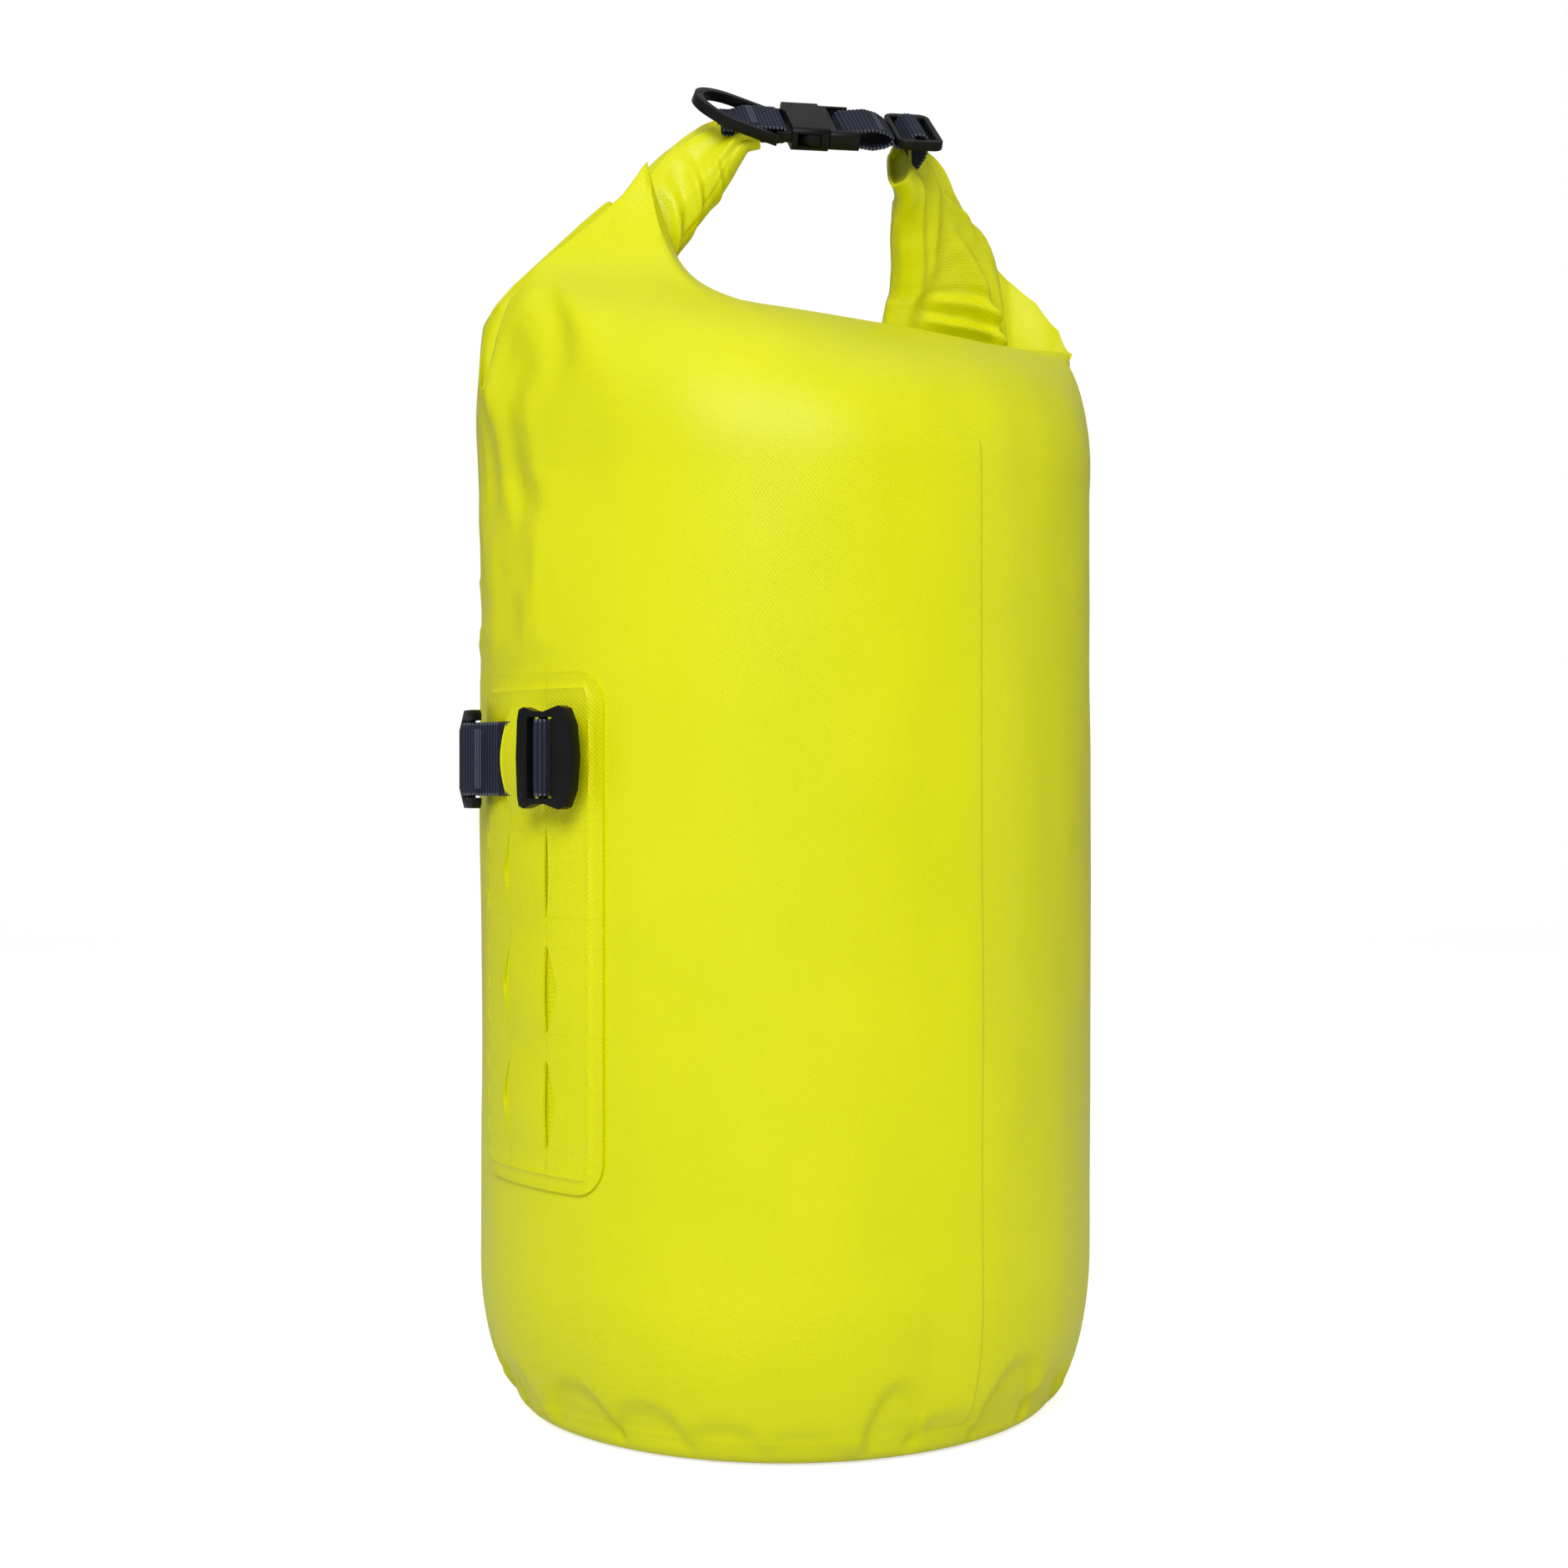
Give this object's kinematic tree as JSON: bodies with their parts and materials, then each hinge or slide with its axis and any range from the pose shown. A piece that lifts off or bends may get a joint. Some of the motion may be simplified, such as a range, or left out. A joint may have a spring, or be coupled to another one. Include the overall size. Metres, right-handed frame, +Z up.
{
  "type": "roll-top dry bag",
  "caption": "Upright roll-top dry bag of coated fabric, closed into a carry loop by a side-release buckle, with a slotted lash panel on its side.",
  "frame": {"origin": "middle of the base, on the ground", "axes": "+Z up the bag; X along the rolled mouth, with the lash panel on the -X side; -Y is the front, which carries the upright weld"},
  "size_m": [0.2451, 0.2206, 0.4728],
  "materials": {
    "coated_fabric": "satin",
    "welded_overlap": "satin",
    "panel_fabric": "satin",
    "seam_tape": "satin",
    "stiffener": "matte",
    "webbing": "matte",
    "thread": "matte",
    "black_plastic": "satin"
  },
  "bodies": {
    "bag": {"body_wall": "coated_fabric", "base_panel": "coated_fabric", "base_seam_tape": "seam_tape", "side_weld": "welded_overlap", "inner_seam_tape": "seam_tape", "rolled_mouth": "coated_fabric", "mouth_stiffener": "stiffener", "lash_panel": "panel_fabric", "lash_webbing": "webbing", "lash_stitching": "thread", "left_tab_webbing": "webbing", "left_tab_stitching": "thread", "buckle_socket": "black_plastic", "right_tab_webbing": "webbing", "right_tab_stitching": "thread", "strap_slider": "black_plastic"},
    "hanging_ring": {"hanging_ring": "black_plastic"},
    "lash_ring": {"lash_ring": "black_plastic"},
    "ladder_lock": {"ladder_lock": "black_plastic"},
    "buckle_plug": {"buckle_plug": "black_plastic"},
    "near_prong": {"near_prong": "black_plastic"},
    "far_prong": {"far_prong": "black_plastic"}
  },
  "joints": [
    {"name": "hanging_ring_swing", "type": "hinge", "parent": "bag", "child": "hanging_ring", "pos_m": [-0.0076, 0.00068, 0.458], "axis": [0.2835, 0.779, 0.5592], "range_deg": [0, 105]},
    {"name": "lash_ring_tilt", "type": "hinge", "parent": "bag", "child": "lash_ring", "pos_m": [-0.11579, 0.01531, 0.2275], "axis": [0, 0, 1], "range_deg": [-28, 22]},
    {"name": "ladder_lock_tilt", "type": "hinge", "parent": "bag", "child": "ladder_lock", "pos_m": [-0.1121, -0.03747, 0.2275], "axis": [0, 0, 1], "range_deg": [-5, 14]},
    {"name": "plug_slide", "type": "slide", "parent": "bag", "child": "buckle_plug", "axis": [0.9397, -0.342, 0], "range_m": [0, 0.012], "deforming": ["near_prong", "far_prong", "right_tab_webbing"]},
    {"name": "near_prong_squeeze", "type": "hinge", "parent": "buckle_plug", "child": "near_prong", "pos_m": [0.01125, -0.01712, 0.45107], "axis": [-0.1913, -0.5255, 0.829], "range_deg": [-9, 0], "stiffness_Nm_per_rad": 0.02},
    {"name": "far_prong_squeeze", "type": "hinge", "parent": "buckle_plug", "child": "far_prong", "pos_m": [0.01828, 0.0022, 0.46493], "axis": [-0.1913, -0.5255, 0.829], "range_deg": [0, 9], "stiffness_Nm_per_rad": 0.02}
  ],
  "couplings": [
    {"joint": "far_prong_squeeze", "follows": "near_prong_squeeze", "ratio": -1}
  ]
}
